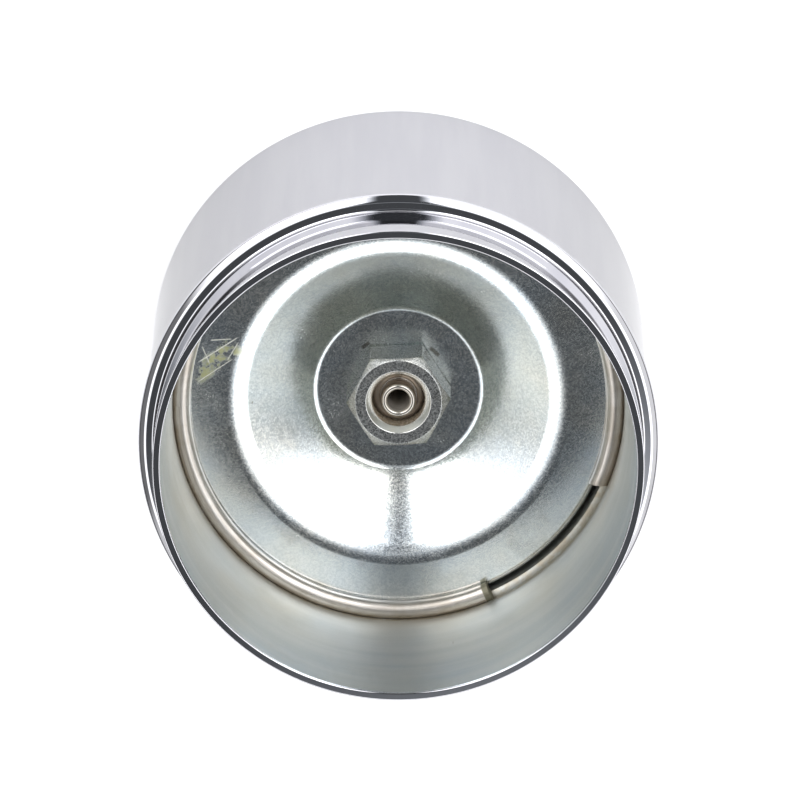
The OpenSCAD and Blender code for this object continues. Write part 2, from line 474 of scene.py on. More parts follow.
def make_hollow_bolt():
    """Bolt with a hexagon head behind the plate, a hole right through, and a round-lipped spigot."""
    corner_r = across_flats / math.sqrt(3) + 0.02
    flat_r = across_flats * 0.95 / 2
    drop = (corner_r - flat_r) * math.tan(math.radians(30))
    head_top = head_z + head_h
    tip = (spigot_r - port_r) / 2
    corners = [
        (port_r, head_z, 0.3),
        (flat_r, head_z, 0),
        (corner_r, head_z + drop, 0),
        (corner_r, head_top - drop, 0),
        (flat_r, head_top, 0),
        (shank_r, head_top, 0.15),
        (shank_r, shank_z - 0.6, 0),
        (shank_r - 0.6, shank_z, 0),
        (spigot_r + 0.5, shank_z, 0),
        (spigot_r + 0.35, shank_z - 0.3, 0),
        (spigot_r, shank_z - 0.3, 0),
        (spigot_r, spigot_z, tip),
        (port_r, spigot_z, tip),
    ]
    piece = turned_piece("hollow_bolt_turned", corners, steps=10, sides=144)
    cut_hexagon(piece, 0, head_z, head_top)
    break_edges(piece, 0.08, angle=30)
    smooth(piece, 30)
    return piece


def make_seal_washer():
    """Flat sealing washer with rounded edges."""
    corners = [
        (hole_r, washer_z, 0.2),
        (washer_r, washer_z, 0.3),
        (washer_r, washer_z + washer_t, 0.3),
        (hole_r, washer_z + washer_t, 0.2),
    ]
    piece = turned_piece("sealing_washer", corners, steps=4, sides=128)
    smooth(piece)
    return piece


def make_spring_seat():
    """Pressed ring that centres the spring on the can's back."""
    inner = spring_r - spring_wire_r - 0.5
    corners = [
        (seat_out_r, seat_low, 0),
        (inner - seat_t, seat_low, seat_t + 0.8),
        (inner - seat_t, seat_high, 0),
    ]
    return pressed_sheet("spring_seat_ring", corners, seat_t, 1, edge=0.2)


def spring_height(turn):
    """Height of the spring wire's middle after a number of turns. The end turns are closed."""
    pitch = 2 * spring_wire_r * 1.03
    rise = spring_top - spring_base - 2 * spring_wire_r - 2 * pitch
    middle = max(0, min(turn - 1, spring_turns - 2)) / (spring_turns - 2)
    return (spring_base + spring_wire_r + pitch * min(turn, 1) + rise * middle
            + pitch * max(0, turn - spring_turns + 1))


def make_spring():
    """Coil spring with closed end turns, drawn as a wire round a path."""
    per_turn = 48
    count = int(spring_turns * per_turn)
    path = bpy.data.curves.new("coil_spring", "CURVE")
    path.dimensions = "3D"
    path.bevel_depth = spring_wire_r * MM
    path.bevel_resolution = 4
    path.use_fill_caps = True
    line = path.splines.new("POLY")
    line.points.add(count)
    for i, point in enumerate(line.points):
        angle = 2 * math.pi * i / per_turn
        height = spring_height(i / per_turn)
        point.co = (spring_r * math.cos(angle) * MM, spring_r * math.sin(angle) * MM, height * MM, 1)
    piece = bpy.data.objects.new("coil_spring", path)
    bpy.context.scene.collection.objects.link(piece)
    deselect()
    bpy.context.view_layer.objects.active = piece
    piece.select_set(True)
    bpy.ops.object.convert(target="MESH")
    piece = bpy.context.object
    work_on(piece)
    weld(piece, 0.01)
    close_edit()
    smooth(piece, 50)
    return piece


# ---------------------------------------------------------------- shared effects

class Nodes:
    """Short words for placing and joining the nodes of one material or group."""

    def __init__(self, tree):
        self.tree = tree

    def add(self, kind, **settings):
        node = self.tree.nodes.new("ShaderNode" + kind)
        for key, value in settings.items():
            setattr(node, key, value)
        return node

    def join(self, source, target):
        self.tree.links.new(source, target)

    def feed(self, socket, value):
        """Joins a socket to another node's output, or sets it to a plain value."""
        if isinstance(value, bpy.types.NodeSocket):
            self.join(value, socket)
        else:
            socket.default_value = value

    def math(self, operation, first, second=0.0, clamp=False):
        node = self.add("Math", operation=operation, use_clamp=clamp)
        self.feed(node.inputs[0], first)
        self.feed(node.inputs[1], second)
        return node.outputs[0]

    def rescale(self, value, from_low, from_high, to_low=0.0, to_high=1.0, smooth_step=True):
        node = self.add("MapRange", interpolation_type="SMOOTHSTEP" if smooth_step else "LINEAR")
        self.feed(node.inputs["Value"], value)
        node.inputs["From Min"].default_value = from_low
        node.inputs["From Max"].default_value = from_high
        node.inputs["To Min"].default_value = to_low
        node.inputs["To Max"].default_value = to_high
        return node.outputs["Result"]

    def band(self, value, low_edge, high_edge, soft):
        """1 between two edges, falling to 0 over a soft width outside them."""
        rising = self.rescale(value, low_edge - soft, low_edge)
        falling = self.rescale(value, high_edge, high_edge + soft, 1.0, 0.0)
        return self.math("MULTIPLY", rising, falling)

    def mix(self, share, first, second):
        node = self.add("Mix", data_type="RGBA")
        self.feed(node.inputs["Factor"], share)
        self.feed(node.inputs[6], first)
        self.feed(node.inputs[7], second)
        return node.outputs[2]

    def multiply(self, first, second):
        node = self.add("Mix", data_type="RGBA", blend_type="MULTIPLY")
        node.inputs["Factor"].default_value = 1.0
        self.feed(node.inputs[6], first)
        self.feed(node.inputs[7], second)
        return node.outputs[2]

    def marks(self, millimetres, places):
        """Several single marks at once. Each is (centre, direction, half length, half width)."""
        total = 0.0
        for centre, direction, half_length, half_width in places:
            mark = self.use(single_mark, millimetres=millimetres, centre=centre, direction=direction,
                            half_length=half_length, half_width=half_width)
            total = self.math("MAXIMUM", mark.outputs["Mark"], total)
        return total

    def noise(self, place, scale, detail=2.0, roughness=0.5, dimensions="3D"):
        node = self.add("TexNoise", noise_dimensions=dimensions)
        self.feed(node.inputs["Vector"], place)
        node.inputs["Scale"].default_value = scale
        node.inputs["Detail"].default_value = detail
        node.inputs["Roughness"].default_value = roughness
        return node.outputs["Fac"]

    def combine(self, x, y, z):
        node = self.add("CombineXYZ")
        self.feed(node.inputs[0], x)
        self.feed(node.inputs[1], y)
        self.feed(node.inputs[2], z)
        return node.outputs[0]

    def use(self, group, **values):
        """Places a shared effect with its own values. Underscores in the names stand for spaces."""
        node = self.add("Group", node_tree=group)
        for key, value in values.items():
            self.feed(node.inputs[key.replace("_", " ").capitalize()], value)
        return node


def new_effect(name, inputs, outputs):
    """An empty node group with named inputs and outputs."""
    tree = bpy.data.node_groups.new(name, "ShaderNodeTree")
    for label, kind, value in inputs:
        socket = tree.interface.new_socket(name=label, in_out="INPUT", socket_type="NodeSocket" + kind)
        if value is not None:
            socket.default_value = value
    for label, kind in outputs:
        tree.interface.new_socket(name=label, in_out="OUTPUT", socket_type="NodeSocket" + kind)
    nodes = Nodes(tree)
    entry = tree.nodes.new("NodeGroupInput")
    leave = tree.nodes.new("NodeGroupOutput")
    return nodes, entry.outputs, leave.inputs


def make_round_place():
    """Where a point lies on a round piece: millimetres, radius, height, and the way round."""
    nodes, given, out = new_effect("round place", [("Place", "Vector", None)],
                                   [("Millimetres", "Vector"), ("Radius", "Float"),
                                    ("Height", "Float"), ("Around", "Float")])
    scaled = nodes.add("VectorMath", operation="SCALE")
    nodes.join(given["Place"], scaled.inputs[0])
    scaled.inputs["Scale"].default_value = 1000.0
    split = nodes.add("SeparateXYZ")
    nodes.join(scaled.outputs[0], split.inputs[0])
    squares = nodes.math("ADD", nodes.math("MULTIPLY", split.outputs[0], split.outputs[0]),
                         nodes.math("MULTIPLY", split.outputs[1], split.outputs[1]))
    nodes.join(scaled.outputs[0], out["Millimetres"])
    nodes.join(nodes.math("SQRT", squares), out["Radius"])
    nodes.join(split.outputs[2], out["Height"])
    nodes.join(nodes.math("ARCTAN2", split.outputs[1], split.outputs[0]), out["Around"])
    return nodes.tree


def make_grain():
    """Fine crystals of a plated surface: a value round 0.5 for colour and roughness, and a height."""
    nodes, given, out = new_effect("plating grain", [("Millimetres", "Vector", None), ("Size", "Float", 0.5)],
                                   [("Grain", "Float"), ("Height", "Float")])
    scale = nodes.math("DIVIDE", 1.0, given["Size"])
    sized = nodes.add("VectorMath", operation="SCALE")
    nodes.join(given["Millimetres"], sized.inputs[0])
    nodes.join(scale, sized.inputs["Scale"])
    cells = nodes.add("TexVoronoi", feature="F1")
    nodes.join(sized.outputs[0], cells.inputs["Vector"])
    cells.inputs["Scale"].default_value = 1.0
    split = nodes.add("SeparateXYZ")
    nodes.join(cells.outputs["Color"], split.inputs[0])
    fine = nodes.noise(sized.outputs[0], 1.7, 3.0, 0.6)
    half_cells = nodes.math("MULTIPLY", split.outputs[0], 0.5)
    half_fine = nodes.math("MULTIPLY", fine, 0.5)
    both = nodes.math("ADD", half_cells, half_fine)
    nodes.join(both, out["Grain"])
    nodes.join(nodes.math("ADD", fine, nodes.math("MULTIPLY", cells.outputs["Distance"], 0.4)), out["Height"])
    return nodes.tree


def make_scratches():
    """Thin straight scratches in two directions. More cover gives more of them."""
    nodes, given, out = new_effect("scratches", [("Millimetres", "Vector", None), ("Angle", "Float", 0.5),
                                                 ("Cover", "Float", 0.5), ("Spacing", "Float", 1.0)],
                                   [("Lines", "Float")])
    found = []
    for lean, length in ((0.0, 9.0), (1.15, 14.0)):
        turned = nodes.add("VectorRotate", rotation_type="Z_AXIS")
        nodes.join(given["Millimetres"], turned.inputs["Vector"])
        nodes.join(nodes.math("ADD", given["Angle"], lean), turned.inputs["Angle"])
        stretched = nodes.add("VectorMath", operation="MULTIPLY")
        nodes.join(turned.outputs[0], stretched.inputs[0])
        stretched.inputs[1].default_value = (1.0 / length, 1.0, 1.0 / length)
        spaced = nodes.add("VectorMath", operation="SCALE")
        nodes.join(stretched.outputs[0], spaced.inputs[0])
        nodes.join(nodes.math("DIVIDE", 1.0, given["Spacing"]), spaced.inputs["Scale"])
        lines = nodes.noise(spaced.outputs[0], 1.0, 1.0, 0.4)
        off = nodes.math("ABSOLUTE", nodes.math("SUBTRACT", lines, 0.5))
        thin = nodes.rescale(off, 0.0, 0.012, 1.0, 0.0)
        places = nodes.noise(given["Millimetres"], 0.09 + lean * 0.05, 2.0, 0.6)
        cover_share = nodes.math("MULTIPLY", given["Cover"], 0.4)
        allowed = nodes.math("GREATER_THAN", nodes.math("ADD", places, cover_share), 0.68)
        found.append(nodes.math("MULTIPLY", thin, allowed))
    nodes.join(nodes.math("MAXIMUM", found[0], found[1]), out["Lines"])
    return nodes.tree


def make_blotches():
    """Soft uneven patches, for dulling, stains and dust."""
    nodes, given, out = new_effect("blotches", [("Millimetres", "Vector", None), ("Size", "Float", 12.0),
                                                ("Cover", "Float", 0.5)],
                                   [("Patches", "Float")])
    sized = nodes.add("VectorMath", operation="SCALE")
    nodes.join(given["Millimetres"], sized.inputs[0])
    nodes.join(nodes.math("DIVIDE", 1.0, given["Size"]), sized.inputs["Scale"])
    cloud = nodes.noise(sized.outputs[0], 1.0, 5.0, 0.62)
    centred_cloud = nodes.math("SUBTRACT", cloud, 0.5)
    shifted = nodes.math("ADD", centred_cloud, nodes.math("MULTIPLY", given["Cover"], 0.3))
    nodes.join(nodes.rescale(shifted, 0.05, 0.25), out["Patches"])
    return nodes.tree


def make_drift():
    """Slow drift of a passivated surface between pale blue, pale green and straw."""
    nodes, given, out = new_effect("passivation drift", [("Millimetres", "Vector", None), ("Size", "Float", 20.0),
                                                         ("Strength", "Float", 0.5)],
                                   [("Tint", "Color")])
    sized = nodes.add("VectorMath", operation="SCALE")
    nodes.join(given["Millimetres"], sized.inputs[0])
    nodes.join(nodes.math("DIVIDE", 1.0, given["Size"]), sized.inputs["Scale"])
    cloud = nodes.noise(sized.outputs[0], 1.0, 3.0, 0.55)
    ramp = nodes.add("ValToRGB")
    nodes.join(cloud, ramp.inputs["Fac"])
    ramp.color_ramp.elements[0].position = 0.32
    ramp.color_ramp.elements[0].color = (0.84, 0.93, 1.0, 1.0)
    ramp.color_ramp.elements[1].position = 0.68
    ramp.color_ramp.elements[1].color = (1.0, 0.955, 0.84, 1.0)
    green = ramp.color_ramp.elements.new(0.5)
    green.color = (0.97, 1.0, 0.97, 1.0)
    nodes.join(nodes.mix(given["Strength"], (1.0, 1.0, 1.0, 1.0), ramp.outputs["Color"]), out["Tint"])
    return nodes.tree


def make_mark():
    """One straight mark: 1 on a line through a place, fading over its width and at its ends."""
    nodes, given, out = new_effect("single mark", [("Millimetres", "Vector", None), ("Centre", "Vector", None),
                                                   ("Direction", "Vector", None), ("Half length", "Float", 3.0),
                                                   ("Half width", "Float", 0.2)],
                                   [("Mark", "Float")])
    away = nodes.add("VectorMath", operation="SUBTRACT")
    nodes.join(given["Millimetres"], away.inputs[0])
    nodes.join(given["Centre"], away.inputs[1])
    waver = nodes.noise(given["Millimetres"], 0.9, 3.0, 0.6)
    wobble = nodes.math("MULTIPLY", nodes.math("SUBTRACT", waver, 0.5), 0.5)
    straight = nodes.add("VectorMath", operation="NORMALIZE")
    nodes.join(given["Direction"], straight.inputs[0])
    along = nodes.add("VectorMath", operation="DOT_PRODUCT")
    nodes.join(away.outputs[0], along.inputs[0])
    nodes.join(straight.outputs[0], along.inputs[1])
    across = nodes.add("VectorMath", operation="CROSS_PRODUCT")
    nodes.join(away.outputs[0], across.inputs[0])
    nodes.join(straight.outputs[0], across.inputs[1])
    width = nodes.add("VectorMath", operation="LENGTH")
    nodes.join(across.outputs[0], width.inputs[0])
    off = nodes.math("ADD", nodes.math("DIVIDE", width.outputs["Value"], given["Half width"]), wobble)
    end = nodes.math("DIVIDE", nodes.math("ABSOLUTE", along.outputs["Value"]), given["Half length"])
    fade_across = nodes.rescale(off, 0.5, 1.1, 1.0, 0.0)
    fade_along = nodes.rescale(end, 0.7, 1.0, 1.0, 0.0)
    sharp = nodes.math("MULTIPLY", fade_across, fade_along)
    nodes.join(sharp, out["Mark"])
    return nodes.tree


round_place = make_round_place()
grain = make_grain()
scratches = make_scratches()
blotches = make_blotches()
drift = make_drift()
single_mark = make_mark()


# ---------------------------------------------------------------- finishes

class Finish:
    """A metal finish: its nodes, its Principled shader, and where each point lies on the piece."""

    def __init__(self, name, ior=1.5):
        self.material = bpy.data.materials.new(name)
        self.material.use_nodes = True
        self.nodes = Nodes(self.material.node_tree)
        self.shader = self.material.node_tree.nodes["Principled BSDF"]
        self.shader.inputs["Metallic"].default_value = 1.0
        self.shader.inputs["IOR"].default_value = ior
        place = self.nodes.add("TexCoord").outputs["Object"]
        where = self.nodes.use(round_place, place=place)
        self.mm = where.outputs["Millimetres"]
        self.radius = where.outputs["Radius"]
        self.height = where.outputs["Height"]
        self.around = where.outputs["Around"]

    def bump(self, height, strength, distance):
        node = self.nodes.add("Bump")
        node.inputs["Strength"].default_value = strength
        node.inputs["Distance"].default_value = distance * MM
        self.nodes.join(height, node.inputs["Height"])
        self.nodes.join(node.outputs["Normal"], self.shader.inputs["Normal"])

    def drawn_round(self, amount):
        """Fine lines round the axis: reflections spread up and down more than round the piece."""
        self.shader.inputs["Anisotropic"].default_value = amount
        self.shader.inputs["Anisotropic Rotation"].default_value = 0.25
        tangent = self.nodes.add("Tangent", direction_type="RADIAL", axis="Z")
        self.nodes.join(tangent.outputs[0], self.shader.inputs["Tangent"])

    def set(self, colour, roughness):
        self.nodes.feed(self.shader.inputs["Base Color"], colour)
        self.nodes.feed(self.shader.inputs["Roughness"], roughness)


def grey(level, red=1.0, green=1.0, blue=1.0):
    return (level * red, level * green, level * blue, 1.0)


def chrome_finish():
    """Bright chrome on drawn steel: faint draw lines up the wall, soft ripples, a few hairline marks."""
    finish = Finish("bright chrome")
    n = finish.nodes
    up_wall = n.combine(n.math("MULTIPLY", finish.around, 9.0), n.math("MULTIPLY", finish.height, 0.012), 0.0)
    draw_lines = n.noise(up_wall, 1.0, 4.0, 0.55)
    ripple = n.noise(finish.mm, 0.035, 2.0, 0.4)
    lines = n.use(scratches, millimetres=finish.mm, angle=0.3, cover=0.1, spacing=0.5).outputs["Lines"]
    haze = n.use(blotches, millimetres=finish.mm, size=22.0, cover=0.2).outputs["Patches"]
    in_lines = n.rescale(draw_lines, 0.35, 0.65)
    tone = n.mix(in_lines, grey(0.68, 0.985, 0.985, 1.045), grey(0.71, 0.99, 0.99, 1.04))
    roughness = n.math("ADD", n.math("MULTIPLY", haze, 0.03), n.math("MULTIPLY", lines, 0.1))
    finish.set(tone, n.math("ADD", roughness, 0.035))
    height = n.math("ADD", n.math("MULTIPLY", draw_lines, 0.12), ripple)
    finish.bump(height, 0.35, 0.12)
    finish.shader.inputs["Specular Tint"].default_value = grey(0.6)
    return finish.material


def sleeve_finish():
    """Dull zinc plating with soft bands and drifting tints, scuffs and nicks, and patchy brown along the wire's
    groove.
    """
    finish = Finish("dull zinc")
    n = finish.nodes
    slow_around = n.math("MULTIPLY", finish.around, 0.8)
    round_bore = n.combine(slow_around, n.math("MULTIPLY", finish.height, 0.20), 0.0)
    bands = n.noise(round_bore, 1.0, 4.0, 0.6)
    up_bore = n.combine(n.math("MULTIPLY", finish.around, 14.0), n.math("MULTIPLY", finish.height, 0.04), 0.0)
    draw_lines = n.noise(up_bore, 1.0, 4.0, 0.6)
    crystals = n.use(grain, millimetres=finish.mm, size=0.35)
    dull = n.use(blotches, millimetres=finish.mm, size=22.0, cover=0.1).outputs["Patches"]
    tint = n.use(drift, millimetres=finish.mm, size=26.0, strength=0.7).outputs["Tint"]
    near_lip = n.rescale(finish.height, ring_z + 8, can_length - 4)
    tone = n.mix(near_lip, grey(0.48, 1.01, 0.99, 0.93), grey(0.45, 0.96, 1.0, 1.01))
    tone = n.multiply(tone, tint)
    tone = n.mix(n.math("MULTIPLY", n.rescale(bands, 0.35, 0.7), 0.4), tone, grey(0.58, 1.0, 0.99, 0.95))
    tone = n.mix(n.math("MULTIPLY", dull, 0.3), tone, grey(0.40, 1.0, 0.99, 0.88))
    # Patchy brown on the sleeve in a band along the wire's groove.
    in_groove = n.band(finish.height, ring_z - 2.2, ring_z + 2.0, 0.5)
    groove_brown = n.math("MULTIPLY", in_groove, n.rescale(n.noise(finish.mm, 0.5, 3.0, 0.6), 0.25, 0.6))
    tone = n.mix(n.math("MULTIPLY", groove_brown, 0.6), tone, (0.34, 0.27, 0.17, 1.0))
    nicks = n.marks(finish.mm, [
        ((-36.5, -31.1, 74.5), (0.10, -0.12, 1.0), 5.5, 0.28),
        ((11.6, -46.55, 54.0), (-0.03, 0.0, 1.0), 8.0, 0.16),
        ((24.6, -41.2, 45.6), (0.2, 0.1, 1.0), 4.0, 0.5),
        ((21.4, -42.9, 45.0), (0.35, 0.2, 1.0), 3.0, 0.35),
        ((40.3, -26.0, 45.5), (0.1, 0.2, 1.0), 4.5, 0.45),
    ])
    tone = n.mix(n.math("MULTIPLY", nicks, 0.8), tone, (0.20, 0.17, 0.12, 1.0))
    lines = n.use(scratches, millimetres=finish.mm, angle=1.2, cover=0.12, spacing=0.8).outputs["Lines"]
    tone = n.mix(n.math("MULTIPLY", lines, 0.4), tone, grey(0.45, 1.0, 0.97, 0.9))
    speck = n.math("MULTIPLY", n.math("SUBTRACT", crystals.outputs["Grain"], 0.5), 0.10)
    roughness = n.math("ADD", n.math("ADD", speck, 0.36), n.math("MULTIPLY", dull, 0.05))
    finish.set(tone, n.math("ADD", roughness, n.math("MULTIPLY", nicks, 0.3)))
    height = n.math("ADD", n.math("MULTIPLY", bands, 1.2), n.math("MULTIPLY", draw_lines, 0.35))
    height = n.math("ADD", height, n.math("MULTIPLY", crystals.outputs["Height"], 0.10))
    finish.bump(n.math("SUBTRACT", height, nicks), 0.4, 0.07)
    finish.shader.inputs["Metallic"].default_value = 0.82
    finish.drawn_round(0.75)
    return finish.material


def plate_finish():
    """Satin zinc plating with fine crystals, drifting tints, short scratches, stains and a rubbed smear."""
    finish = Finish("satin zinc")
    n = finish.nodes
    crystals = n.use(grain, millimetres=finish.mm, size=0.30)
    dull = n.use(blotches, millimetres=finish.mm, size=9.0, cover=0.2).outputs["Patches"]
    tint = n.use(drift, millimetres=finish.mm, size=16.0, strength=0.5).outputs["Tint"]
    lines = n.use(scratches, millimetres=finish.mm, angle=0.9, cover=0.32, spacing=0.6).outputs["Lines"]
    sparkle = n.rescale(crystals.outputs["Grain"], 0.25, 0.75)
    tone = n.multiply(n.mix(sparkle, grey(0.76, 0.95, 1.0, 1.05), grey(0.95, 0.975, 1.0, 1.02)), tint)
    tone = n.mix(n.math("MULTIPLY", dull, 0.22), tone, grey(0.5, 1.0, 0.99, 0.88))
    tone = n.mix(n.math("MULTIPLY", lines, 0.35), tone, grey(0.9))
    smear_area = n.marks(finish.mm, [((-38.2, 9.0, plate_z), (9.5, 7.6, 0.0), 6.5, 2.6)])
    smear = n.math("MULTIPLY", smear_area, n.rescale(n.noise(finish.mm, 0.45, 4.0, 0.6), 0.42, 0.6))
    tone = n.mix(n.math("MULTIPLY", smear, 0.8), tone, (0.50, 0.50, 0.20, 1.0))
    rubs = n.marks(finish.mm, [
        ((-37.6, 11.4, plate_z), (9.5, 6.2, 0.0), 5.6, 0.16),
        ((-37.0, 13.6, plate_z), (8.0, 0.5, 0.0), 2.4, 0.14),
        ((-38.4, 6.8, plate_z), (8.0, 5.5, 0.0), 5.0, 0.12),
        ((-34.6, 11.0, plate_z), (3.0, 5.0, 0.0), 2.6, 0.14),
        ((-40.2, 10.2, plate_z), (2.0, -5.0, 0.0), 2.2, 0.13),
    ])
    tone = n.mix(rubs, tone, grey(1.0, 0.98, 0.98, 0.9))
    nicks = n.marks(finish.mm, [
        ((-30.2, 0.3, plate_z - 1.6), (1.0, 2.6, 0.4), 1.6, 0.22),
        ((-6.9, 9.3, floor_z), (1.0, 0.8, 0.0), 1.1, 0.45),
        ((7.6, 7.9, floor_z), (1.0, -0.9, 0.0), 1.5, 0.5),
    ])
    tone = n.mix(n.math("MULTIPLY", nicks, 0.75), tone, (0.16, 0.14, 0.11, 1.0))
    speck = n.math("MULTIPLY", n.math("SUBTRACT", crystals.outputs["Grain"], 0.5), 0.12)
    roughness = n.math("ADD", n.math("ADD", speck, 0.19), n.math("MULTIPLY", dull, 0.06))
    roughness = n.math("ADD", roughness, n.math("MULTIPLY", n.math("MAXIMUM", rubs, smear), 0.25))
    finish.set(tone, roughness)
    finish.bump(crystals.outputs["Height"], 0.35, 0.018)
    return finish.material


def wire_finish():
    """Nickel-grey drawn wire, warm, with draw marks round the ring and brown rubbing in patches."""
    finish = Finish("drawn wire")
    n = finish.nodes
    along = n.combine(n.math("MULTIPLY", finish.around, 4.0), n.math("MULTIPLY", finish.height, 2.2),
                      n.math("MULTIPLY", finish.radius, 2.2))
    marks = n.noise(along, 1.0, 4.0, 0.6)
    crystals = n.use(grain, millimetres=finish.mm, size=0.3)
    rubbed = n.use(blotches, millimetres=finish.mm, size=6.0, cover=0.35).outputs["Patches"]
    tone = n.mix(n.rescale(marks, 0.35, 0.65), grey(0.42, 1.06, 0.98, 0.9), grey(0.60, 1.03, 0.99, 0.93))
    tone = n.mix(n.math("MULTIPLY", rubbed, 0.35), tone, (0.34, 0.29, 0.22, 1.0))
    burr_at = math.radians(ring_gap_at - ring_gap / 2)
    burr = n.band(finish.around, burr_at - 0.026, burr_at + 0.03, 0.006)
    tone = n.mix(n.math("MULTIPLY", burr, 0.8), tone, (0.20, 0.19, 0.12, 1.0))
    speck = n.math("MULTIPLY", crystals.outputs["Grain"], 0.16)
    finish.set(tone, n.math("ADD", n.math("ADD", speck, 0.28), n.math("MULTIPLY", burr, 0.3)))
    finish.bump(n.math("ADD", marks, n.math("MULTIPLY", crystals.outputs["Height"], 0.2)), 0.4, 0.03)
    return finish.material


def nut_finish():
    """Pale zinc on a machined nut: coarse speckle, brown in the thread, painted shade on the sides and a painted
    highlight on the chamfer.
    """
    finish = Finish("pale zinc")
    n = finish.nodes
    crystals = n.use(grain, millimetres=finish.mm, size=0.24)
    dull = n.use(blotches, millimetres=finish.mm, size=5.0, cover=0.3).outputs["Patches"]
    lines = n.use(scratches, millimetres=finish.mm, angle=2.2, cover=0.4, spacing=0.5).outputs["Lines"]
    bright_cells = n.rescale(crystals.outputs["Grain"], 0.25, 0.75)
    tone = n.mix(bright_cells, grey(0.40, 0.98, 1.0, 1.0), grey(0.64, 0.99, 1.0, 0.99))
    tone = n.mix(n.math("MULTIPLY", dull, 0.35), tone, grey(0.5, 1.0, 0.97, 0.84))
    tone = n.mix(n.math("MULTIPLY", lines, 0.4), tone, grey(0.9))
    # Painted shade: the sides below the top face are painted dark grey-green for the shade they fall in.
    below_top = n.rescale(finish.height, nut_top - 0.5, nut_top - 1.0)
    side_painted_shade = n.math("MULTIPLY", below_top, n.rescale(finish.radius, nut_bore_r + 2.4, nut_bore_r + 2.8))
    tone = n.mix(n.math("MULTIPLY", side_painted_shade, 0.75), tone, (0.22, 0.235, 0.20, 1.0))
    near_hole = n.rescale(finish.radius, nut_bore_r + 0.9, nut_bore_r + 0.7)
    under_chamfer = n.rescale(finish.height, nut_top - 1.2, nut_top - 1.35)
    in_bore = n.math("MULTIPLY", near_hole, under_chamfer)
    tone = n.mix(n.math("MULTIPLY", in_bore, 0.85), tone, (0.42, 0.34, 0.24, 1.0))
    # Painted highlight: the chamfer round the hole is painted near-white for the light it reflects, and it is
    # also made smoother.
    hole_edge = n.rescale(finish.radius, nut_bore_r + 1.4, nut_bore_r + 1.2)
    chamfer_highlight_and_polish = n.math("MULTIPLY", hole_edge, n.math("SUBTRACT", 1.0, under_chamfer))
    tone = n.mix(n.math("MULTIPLY", chamfer_highlight_and_polish, 0.8), tone, grey(0.92, 1.0, 1.0, 0.97))
    speck = n.math("MULTIPLY", n.math("SUBTRACT", crystals.outputs["Grain"], 0.5), 0.18)
    roughness = n.math("SUBTRACT", n.math("ADD", speck, 0.26), n.math("MULTIPLY", chamfer_highlight_and_polish, 0.12))
    finish.set(tone, roughness)
    film = n.math("SUBTRACT", 1.0, n.math("MULTIPLY", in_bore, 0.6))
    n.join(film, finish.shader.inputs["Metallic"])
    finish.bump(crystals.outputs["Height"], 0.25, 0.02)
    return finish.material


def bolt_finish():
    """Nickel on a turned bolt: bright spigot with turning marks, brownish shank end."""
    finish = Finish("turned nickel")
    n = finish.nodes
    turning = n.noise(n.combine(finish.radius, finish.height, 0.0), 3.5, 3.0, 0.7)
    crystals = n.use(grain, millimetres=finish.mm, size=0.25)
    oily = n.use(blotches, millimetres=finish.mm, size=4.0, cover=0.4).outputs["Patches"]
    tone = n.mix(n.rescale(turning, 0.3, 0.7), grey(0.50, 1.06, 0.98, 0.88), grey(0.74, 1.04, 0.98, 0.90))
    shank = n.rescale(finish.radius, spigot_r + 0.05, spigot_r + 0.3)
    tone = n.mix(n.math("MULTIPLY", shank, 0.8), tone, (0.46, 0.37, 0.28, 1.0))
    tone = n.mix(n.math("MULTIPLY", oily, 0.2), tone, (0.34, 0.26, 0.19, 1.0))
    finish.set(tone, n.math("ADD", n.math("MULTIPLY", crystals.outputs["Grain"], 0.14), 0.10))
    in_hole = n.rescale(finish.radius, port_r + 0.1, port_r + 0.02)
    film = n.math("MULTIPLY", n.math("MAXIMUM", shank, in_hole), 0.6)
    n.join(n.math("SUBTRACT", 1.0, film), finish.shader.inputs["Metallic"])
    finish.bump(turning, 0.35, 0.03)
    return finish.material


def copper_finish():
    """Copper washer, tarnished in patches."""
    finish = Finish("tarnished copper")
    n = finish.nodes
    crystals = n.use(grain, millimetres=finish.mm, size=0.4)
    tarnish = n.use(blotches, millimetres=finish.mm, size=4.0, cover=0.6).outputs["Patches"]
    tone = n.mix(tarnish, (0.80, 0.42, 0.25, 1.0), (0.34, 0.17, 0.10, 1.0))
    finish.set(tone, n.math("ADD", n.math("MULTIPLY", crystals.outputs["Grain"], 0.2), 0.22))
    finish.bump(crystals.outputs["Height"], 0.4, 0.03)
    return finish.material


def spring_finish():
    """Oiled spring wire, dark, with draw marks round the coil and light dust."""
    finish = Finish("oiled spring steel")
    n = finish.nodes
    along = n.combine(n.math("MULTIPLY", finish.around, 3.0), n.math("MULTIPLY", finish.height, 1.6),
                      n.math("MULTIPLY", finish.radius, 1.6))
    marks = n.noise(along, 1.0, 4.0, 0.6)
    dust = n.use(blotches, millimetres=finish.mm, size=14.0, cover=0.4).outputs["Patches"]
    tone = n.mix(n.rescale(marks, 0.3, 0.7), grey(0.20, 0.97, 1.0, 1.05), grey(0.34, 1.0, 1.0, 1.0))
    tone = n.mix(n.math("MULTIPLY", dust, 0.3), tone, grey(0.4, 1.0, 0.93, 0.82))
    finish.set(tone, n.math("ADD", n.math("MULTIPLY", dust, 0.25), 0.25))
    finish.bump(marks, 0.4, 0.04)
    return finish.material


# ---------------------------------------------------------------- putting it together

def fit(piece, node, body, material):
    """Gives a piece its finish and its body, and lets it stand for its CAD node."""
    piece.data.materials.clear()
    piece.data.materials.append(material)
    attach(piece, body)
    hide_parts(node)
    return piece


